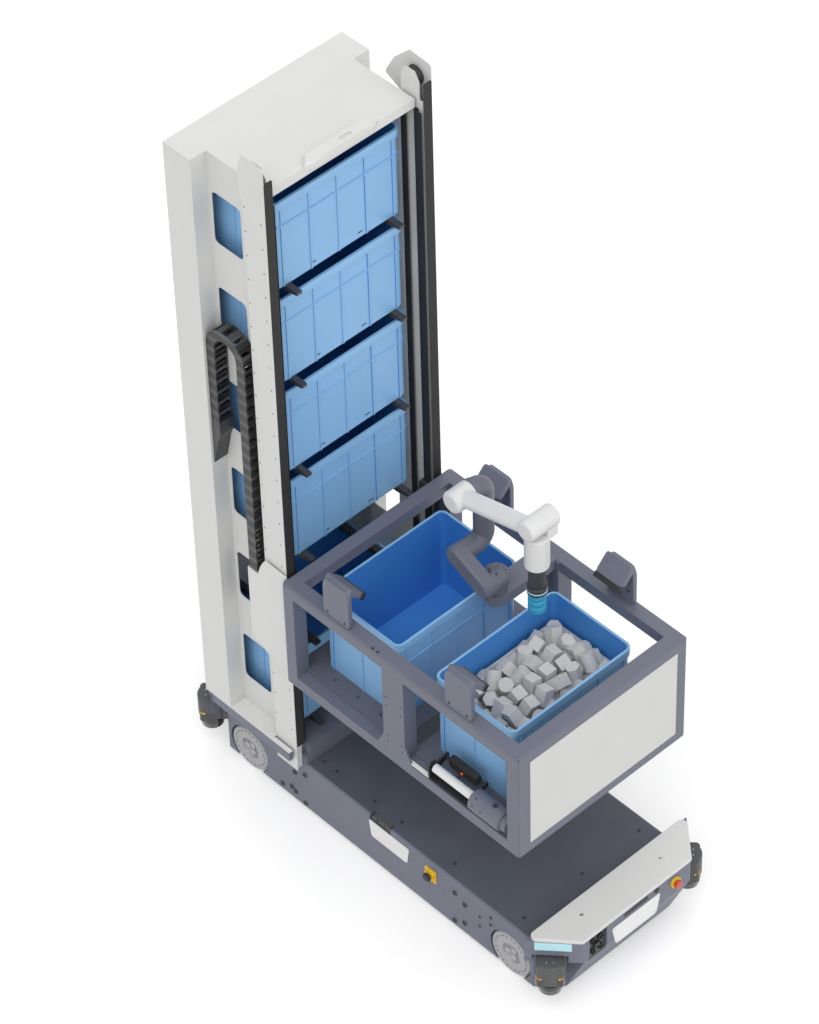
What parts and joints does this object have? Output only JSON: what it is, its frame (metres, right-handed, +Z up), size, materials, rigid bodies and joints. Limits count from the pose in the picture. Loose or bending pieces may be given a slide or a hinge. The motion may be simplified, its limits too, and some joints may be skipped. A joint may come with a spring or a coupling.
{
  "type": "tote-carrying mobile robot with lift carriage and pick arm",
  "caption": "Free-standing mobile robot: wheeled base, tall tote rack, lift carriage with two totes and a jointed suction pick arm, chain-fed.",
  "frame": {"origin": "on the floor, under the middle of the overall length and width", "axes": "+X forward (the bumper head with the stop button), +Y to the robot's left, +Z up"},
  "size_m": [2.0332, 0.858, 3.2084],
  "materials": {
    "slate_paint": "satin",
    "white_paint": "satin",
    "dark_deck": "satin",
    "grey_disc": "cast",
    "black_plastic": "matte",
    "tote_blue": "satin",
    "steel": "brushed",
    "light_blue": "glowing",
    "red_plastic": "gloss",
    "yellow_plastic": "gloss",
    "white_plastic": "satin",
    "grey_casting": "satin",
    "cup_rubber": "matte",
    "dark_metal": "satin",
    "goods_grey": "matte",
    "white_metal": "satin",
    "grey_plastic": "matte"
  },
  "bodies": {
    "base": {"base_hull": "slate_paint", "deck_plate": "dark_deck", "side_camera": "grey_plastic", "front_head": "slate_paint", "rear_head": "slate_paint", "front_cover": "white_paint", "light_strips": "light_blue", "stop_collar_front": "yellow_plastic", "stop_collar_side": "yellow_plastic", "scanner_front_left": "grey_plastic", "scanner_front_right": "grey_plastic", "scanner_rear_left": "grey_plastic", "scanner_rear_right": "grey_plastic", "rear_module": "slate_paint", "mast_rear_cover": "white_paint", "mast_panel_left": "white_paint", "mast_panel_right": "white_paint", "mast_column_left": "white_paint", "mast_column_right": "white_paint", "mast_top": "white_paint", "lift_rails": "steel", "rack_support_left": "dark_metal", "rack_support_right": "dark_metal", "rack_tote_1": "tote_blue", "rack_tote_2": "tote_blue", "rack_tote_3": "tote_blue", "rack_tote_4": "tote_blue", "rack_tote_6": "tote_blue", "chain_fixed_run": "black_plastic", "chain_foot_bracket": "black_plastic"},
    "carriage": {"carriage_frame": "slate_paint", "carriage_floor": "dark_deck", "front_panel": "white_paint", "sensor_brackets": "slate_paint", "side_cover": "white_paint", "guide_blocks": "dark_metal", "transfer_unit": "slate_paint", "tote_rear": "tote_blue", "tote_front": "tote_blue", "tote_goods": "goods_grey", "arm_pedestal": "slate_paint", "chain_moving_run": "black_plastic"},
    "chain_bend": {"chain_loop": "black_plastic"},
    "pulley_left": {"belt_pulley_left": "black_plastic"},
    "pulley_right": {"belt_pulley_right": "black_plastic"},
    "wheel_fl": {"wheel_front_left": "grey_disc"},
    "wheel_fr": {"wheel_front_right": "grey_disc"},
    "wheel_rl": {"wheel_rear_left": "grey_disc"},
    "wheel_rr": {"wheel_rear_right": "grey_disc"},
    "front_button": {"stop_button_front": "red_plastic"},
    "side_button": {"stop_button_side": "black_plastic"},
    "roller": {"transfer_roller": "white_metal"},
    "pad": {"transfer_arms": "black_plastic"},
    "turret": {"arm_turret": "grey_casting"},
    "lower_link": {"arm_link": "grey_casting"},
    "upper_arm": {"arm_upper": "grey_casting"},
    "forearm": {"arm_forearm": "white_plastic"},
    "wrist": {"arm_wrist": "white_plastic"},
    "tool": {"arm_tool": "dark_metal", "suction_cup": "cup_rubber"}
  },
  "joints": [
    {"name": "lift", "type": "slide", "parent": "base", "child": "carriage", "axis": [0, 0, 1], "range_m": [-0.4, 1.72]},
    {"name": "chain_follow", "type": "slide", "parent": "base", "child": "chain_bend", "axis": [0, 0, 1], "range_m": [-0.2, 0.86], "deforming": ["chain_fixed_run", "chain_moving_run"]},
    {"name": "belt_left_spin", "type": "hinge", "parent": "base", "child": "pulley_left", "pos_m": [-0.47765, 0.376, 3.126], "axis": [0, 1, 0], "continuous": true},
    {"name": "belt_right_spin", "type": "hinge", "parent": "base", "child": "pulley_right", "pos_m": [-0.47765, -0.358, 3.126], "axis": [0, 1, 0], "continuous": true},
    {"name": "wheel_fl_spin", "type": "hinge", "parent": "base", "child": "wheel_fl", "pos_m": [0.69535, 0.337, 0.0985], "axis": [0, 1, 0], "continuous": true},
    {"name": "wheel_fr_spin", "type": "hinge", "parent": "base", "child": "wheel_fr", "pos_m": [0.69535, -0.319, 0.0985], "axis": [0, 1, 0], "continuous": true},
    {"name": "wheel_rl_spin", "type": "hinge", "parent": "base", "child": "wheel_rl", "pos_m": [-0.72165, 0.337, 0.0985], "axis": [0, 1, 0], "continuous": true},
    {"name": "wheel_rr_spin", "type": "hinge", "parent": "base", "child": "wheel_rr", "pos_m": [-0.72165, -0.319, 0.0985], "axis": [0, 1, 0], "continuous": true},
    {"name": "front_stop_press", "type": "slide", "parent": "base", "child": "front_button", "axis": [-1, 0, 0], "range_m": [0, 0.005], "stiffness_N_per_m": 900, "springref_m": -0.001},
    {"name": "side_stop_press", "type": "slide", "parent": "base", "child": "side_button", "axis": [0, 1, 0], "range_m": [0, 0.005], "stiffness_N_per_m": 900, "springref_m": -0.001},
    {"name": "roller_spin", "type": "hinge", "parent": "carriage", "child": "roller", "pos_m": [0.36435, -0.387, 0.887], "axis": [1, 0, 0], "continuous": true},
    {"name": "pad_swing", "type": "hinge", "parent": "carriage", "child": "pad", "pos_m": [0.36435, -0.387, 0.887], "axis": [1, 0, 0], "range_deg": [0, 85]},
    {"name": "arm_turn", "type": "hinge", "parent": "carriage", "child": "turret", "pos_m": [0.17235, 0.11, 1.3], "axis": [0, 0, 1], "range_deg": [-170, 170]},
    {"name": "arm_lift", "type": "hinge", "parent": "turret", "child": "lower_link", "pos_m": [0.18535, 0.11, 1.369], "axis": [0, 1, 0], "range_deg": [-30, 50]},
    {"name": "arm_elbow", "type": "hinge", "parent": "lower_link", "child": "upper_arm", "pos_m": [0.04935, 0.11, 1.432], "axis": [0, -1, 0], "range_deg": [-30, 100]},
    {"name": "forearm_lift", "type": "hinge", "parent": "upper_arm", "child": "forearm", "pos_m": [0.04935, 0.11, 1.71], "axis": [0, -1, 0], "range_deg": [-20, 120]},
    {"name": "wrist_bend", "type": "hinge", "parent": "forearm", "child": "wrist", "pos_m": [0.39935, 0.11, 1.803], "axis": [0, 1, 0], "range_deg": [-110, 4]},
    {"name": "tool_roll", "type": "hinge", "parent": "wrist", "child": "tool", "pos_m": [0.39935, 0.089, 1.603], "axis": [0, 0, 1], "range_deg": [-175, 175]}
  ],
  "couplings": [
    {"joint": "chain_follow", "follows": "lift", "ratio": 0.5},
    {"joint": "belt_left_spin", "follows": "lift", "rad_per_m": -29.412},
    {"joint": "belt_right_spin", "follows": "lift", "rad_per_m": -29.412}
  ]
}
